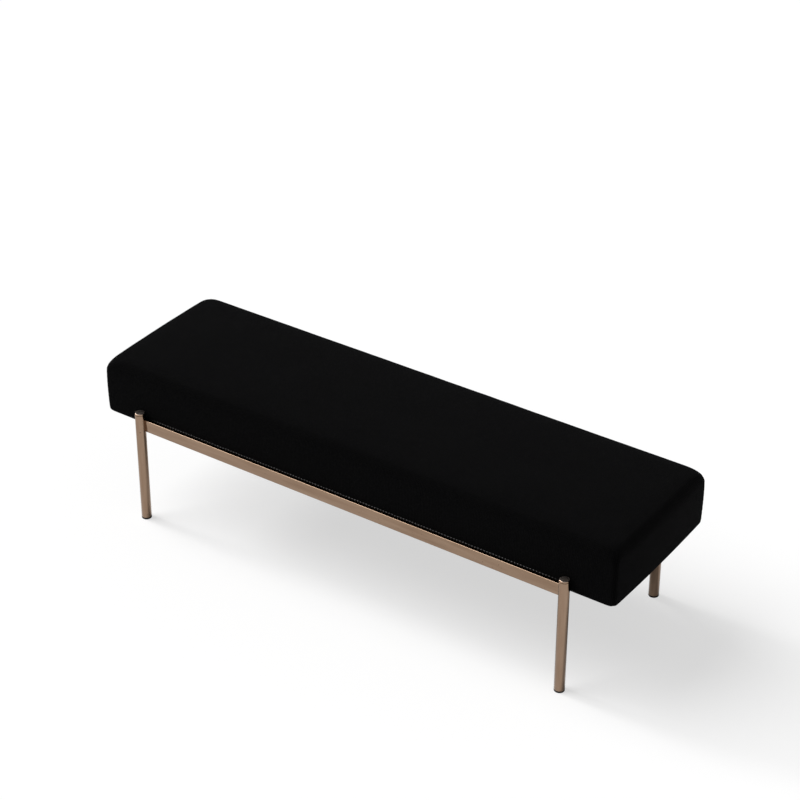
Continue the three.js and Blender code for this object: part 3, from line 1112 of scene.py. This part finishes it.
def make_weld():
    """The weld at one end of a cross bar: a rippled bead up one side, over the top and down."""
    low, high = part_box("cross_bar_1")
    half = (high.x - low.x) / 2 + WELD_STAND
    spot = Vector((-half, 0, low.z + WELD_START))
    upward = round((high.z - spot.z) / WELD_RIPPLE) - 2
    across = round(2 * half / WELD_RIPPLE)
    corner = [math.radians(30)] * 3
    turns = [0] * upward + corner + [0] * (across - 2) + corner + [0] * upward
    thin = WELD_BEAD * 0.4
    bpy.ops.mesh.primitive_circle_add(vertices=8, radius=thin, fill_type="NGON", location=spot)
    weld = settle(bpy.context.active_object, "weld")
    open_up(weld)
    bpy.ops.mesh.select_all(action="SELECT")
    heading, thick = 0, thin
    for number, turn in enumerate(turns):
        heading += turn
        move = Vector((math.sin(heading), 0, math.cos(heading))) * WELD_RIPPLE
        spot = spot + move
        bpy.ops.mesh.extrude_region_move(TRANSFORM_OT_translate={"value": move})
        if turn:
            bpy.ops.transform.rotate(value=-turn, orient_axis="Y", center_override=spot)
        wanted = WELD_BEAD * (1 + WELD_UNEVEN * math.sin(number * 1.35))
        if number == len(turns) - 1:
            wanted = thin
        bpy.ops.transform.resize(value=(wanted / thick,) * 3, center_override=spot)
        thick = wanted
    bpy.ops.mesh.select_all(action="SELECT")
    bpy.ops.mesh.normals_make_consistent(inside=False)
    close_up()
    return smooth(weld, 60)


def dress_frame():
    upright = champagne_steel("champagne_steel_upright", "Z")
    lengthwise = champagne_steel("champagne_steel_lengthwise", "X")
    crosswise = champagne_steel("champagne_steel_crosswise", "Y")
    plastic, turned_face = glide_plastic(), satin_steel()
    tube, cap, glide = make_leg_tube(), make_leg_cap(), make_glide()
    for corner in CORNERS:
        spot = centre_of(f"leg_{corner}")
        shift = (spot.x, spot.y, 0)
        place(copied(tube, f"tube_{corner}", shift), upright, "frame_metal", f"leg_{corner}")
        dome = copied(cap, f"cap_{corner}", shift)
        finish_top(place(dome, upright, "frame_metal", f"leg_cap_{corner}"), turned_face)
        place(copied(glide, f"foot_{corner}", shift), plastic, "glide_plastic", f"glide_{corner}")
    rail, bar, weld = make_rail(), make_cross_bar(), make_weld()
    raw_weld = weld_steel()
    place(copied(rail, "long_rail_front", (0, 0, 0)), lengthwise, "frame_metal", "rail_front")
    back = copied(rail, "long_rail_back", (0, 0, 0), math.pi)
    place(back, lengthwise, "frame_metal", "rail_back")
    for number in (1, 2, 3, 4):
        spot = centre_of(f"cross_bar_{number}")
        twin = copied(bar, f"seat_bar_{number}", (spot.x, 0, 0))
        place(twin, crosswise, "frame_metal", f"cross_bar_{number}")
        for side, face in (("front", -1), ("back", 1)):
            end = (spot.x, face * WELD_LINE, 0)
            bead = copied(weld, f"weld_{number}_{side}", end, 0 if face < 0 else math.pi)
            place(bead, raw_weld, "frame_metal")
    for model in (tube, cap, glide, rail, bar, weld):
        bpy.data.objects.remove(model)


# ------------ fastenings

def make_bolt():
    """A button-head bolt, pointing up, with a hexagon socket in its head."""
    low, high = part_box("bolt_1_front")
    seat = low.z + HEAD_HEIGHT
    bolt = turned_start(HEAD_RADIUS, low.z, seat, 32)
    open_up(bolt)
    choose("FACE", faces_up)
    bpy.ops.mesh.inset(thickness=HEAD_RADIUS - SHANK_RADIUS)
    draw_up(high.z - seat)
    round_rim(HEAD_RADIUS, low.z, HEAD_ROUND, 5)
    round_rim(SHANK_RADIUS, high.z, SHANK_ROUND, 2)
    close_up()
    key = round_bar(KEY_ACROSS / math.sqrt(3), KEY_HEIGHT, (0, 0, low.z), 6)
    cut_with(bolt, settle(key, "key"))
    return smooth(bolt)


def make_washer():
    low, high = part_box("washer_1_front")
    washer = turned_start(WASHER_HOLE, low.z, high.z, 32)
    open_up(washer)
    open_ends(2)
    close_up()
    thicken(washer, WASHER_WIDTH, 1)
    finish_with(washer, "BEVEL", width=WASHER_ROUND, segments=2, limit_method="ANGLE")
    return smooth(washer)


def dress_fastenings():
    zinc = zinc_steel()
    bolt, washer = make_bolt(), make_washer()
    for spot in BOLT_PLACES:
        at = centre_of(f"bolt_{spot}")
        shift = (at.x, at.y, 0)
        place(copied(bolt, f"button_bolt_{spot}", shift), zinc, "zinc_steel", f"bolt_{spot}")
        place(copied(washer, f"flat_washer_{spot}", shift), zinc, "zinc_steel", f"washer_{spot}")
        keep_solid(f"tee_nut_{spot}", zinc)
    for model in (bolt, washer):
        bpy.data.objects.remove(model)
    dress_hem(zinc)


def make_staple():
    """A wire staple seen from its crown: a flat bar whose ends turn up into the board."""
    half = Vector(STAPLE_HALF)
    staple = block("staple", -half, half)
    open_up(staple)
    for cut_x in (-STAPLE_LEG_FROM, STAPLE_LEG_FROM):
        bpy.ops.mesh.select_all(action="SELECT")
        bpy.ops.mesh.bisect(plane_co=(cut_x, 0, 0), plane_no=(1, 0, 0))
    choose("FACE", lambda face: faces_up(face) and abs(middle(face).x) > STAPLE_LEG_FROM)
    draw_up(STAPLE_LEG)

    def outer_bend(edge):
        at_end = abs(abs(middle(edge).x) - half.x) < 1e-5
        return at_end and all(vert.co.z < -0.0002 for vert in edge.verts)

    round_off(outer_bend, STAPLE_ROUND, 2)
    close_up()
    return staple


def staple_places():
    """Evenly round the hem, except where the cross bars bear on it."""
    reach_x, reach_y = HALF_LENGTH - STAPLE_INSET, HALF_DEPTH - STAPLE_INSET
    radius = corner_radius(STAPLE_INSET, 0)
    xs, ys = (
        evenly(reach - radius, round(2 * (reach - radius) / STAPLE_PITCH))
        for reach in (reach_x, reach_y)
    )
    for side in (-1, 1):
        for x in xs:
            if all(abs(x - bar) > BAR_CLEARANCE for bar in BAR_PLACES):
                yield x, side * reach_y, 0
        for y in ys:
            bow = 1 + END_BOW / HALF_LENGTH * (1 - (y / HALF_DEPTH) ** 2)
            yield side * reach_x * bow, y, math.pi / 2


def dress_hem(finish):
    """Staples that hold the hem, each set a little askew as by hand."""
    staple = make_staple()
    row = []
    for number, (x, y, turn) in enumerate(staple_places()):
        askew = STAPLE_ASKEW * math.sin(number * 2.4)
        shift = (x + STAPLE_STRAY * math.sin(number * 1.7), y, UNDERSIDE - 0.0001)
        row.append(copied(staple, f"staple_{number}", shift, turn + askew))
    bpy.data.objects.remove(staple)
    place(joined(row, "hem_staples"), finish, "zinc_steel")


def keep_solid(node, finish):
    """Gives a solid that stays as it is its finish."""
    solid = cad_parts[node]
    solid.data.materials.clear()
    solid.data.materials.append(finish)


# ------------ studio

def set_camera():
    """The photograph's place and lens, fitted to the feet, leg tops, rail and seat outline."""
    data = bpy.data.cameras.new("camera")
    data.lens = 103.02
    data.sensor_width = 36
    data.clip_end = 60
    camera = new_piece("camera", data)
    azimuth, elevation, roll = (math.radians(value) for value in (34.432, 31.70, 0.147))
    level = math.cos(elevation)
    back = Vector((math.sin(azimuth) * level, -math.cos(azimuth) * level, math.sin(elevation)))
    camera.location = (2.8618, -4.1480, 3.6037)
    camera.rotation_mode = "QUATERNION"
    camera.rotation_quaternion = (-back).to_track_quat("-Z", "Y") @ Quaternion((0, 0, 1), roll)
    bpy.context.scene.camera = camera


def seen_or_mirrored(nodes):
    """One where a surface is seen by the camera, or mirrored in metal, or through glass."""
    path = nodes.node("LightPath")
    total = path.outputs["Is Camera Ray"]
    for name in ("Is Glossy Ray", "Is Transmission Ray"):
        total = nodes.sum("MAXIMUM", total, path.outputs[name])
    return total


def set_floor():
    bpy.ops.mesh.primitive_plane_add(size=FLOOR_SIZE)
    floor = bpy.context.active_object
    floor.name = "floor"
    finish = Finish("white_floor", Roughness=1, Specular_IOR_Level=0, Emission_Color=(1, 1, 1, 1))
    # To the camera much of the floor's white is its own, which keeps the shadow pale
    seen = finish.node("LightPath").outputs["Is Camera Ray"]
    tone = finish.spread(seen, 0, 1, FLOOR_TONE, FLOOR_TONE_SEEN)
    glow = finish.times(seen, FLOOR_GLOW_SEEN)
    glow = finish.sum("MULTIPLY_ADD", seen_or_mirrored(finish), FLOOR_GLOW_MIRRORED, glow)
    finish.set(Base_Color=tone, Emission_Strength=glow)
    # From below the floor is clear, so that the underside can be seen
    side = finish.node("NewGeometry").outputs["Backfacing"]
    clear = finish.node("BsdfTransparent").outputs[0]
    either = finish.node("MixShader", {0: side, 1: finish.shader.outputs[0], 2: clear})
    finish.join(either.outputs[0], finish.tree.nodes["Material Output"].inputs["Surface"])
    floor.data.materials.append(finish.material)


def set_light():
    world = bpy.data.worlds.new("studio")
    world.use_nodes = True
    nodes = Nodes(world.node_tree)
    sky = nodes.tree.nodes["Background"]
    sky.inputs["Color"].default_value = (1, 1, 1, 1)
    strength = nodes.spread(seen_or_mirrored(nodes), 0, 1, SKY_LIGHT, SKY_SEEN)
    nodes.join(strength, sky.inputs["Strength"])
    bpy.context.scene.world = world
    add_lamp("window", 2.6, 50, (0.60, 0.20, -0.77))
    add_lamp("spot", 0.9, 11, (0.85, 0.03, -0.52))
    bpy.context.scene.view_settings.view_transform = "Standard"


def add_lamp(name, strength, spread, shines_along):
    lamp = bpy.data.lights.new(name, "SUN")
    lamp.energy = strength
    lamp.angle = math.radians(spread)
    shown = new_piece(name, lamp)
    shown.rotation_mode = "QUATERNION"
    shown.rotation_quaternion = Vector(shines_along).to_track_quat("-Z", "Y")


set_camera()
set_floor()
set_light()
dress_frame()
dress_fastenings()
keep_solid("seat_board", plywood())
make_foam()
make_dust_cloth(dust_cloth())
make_cover()
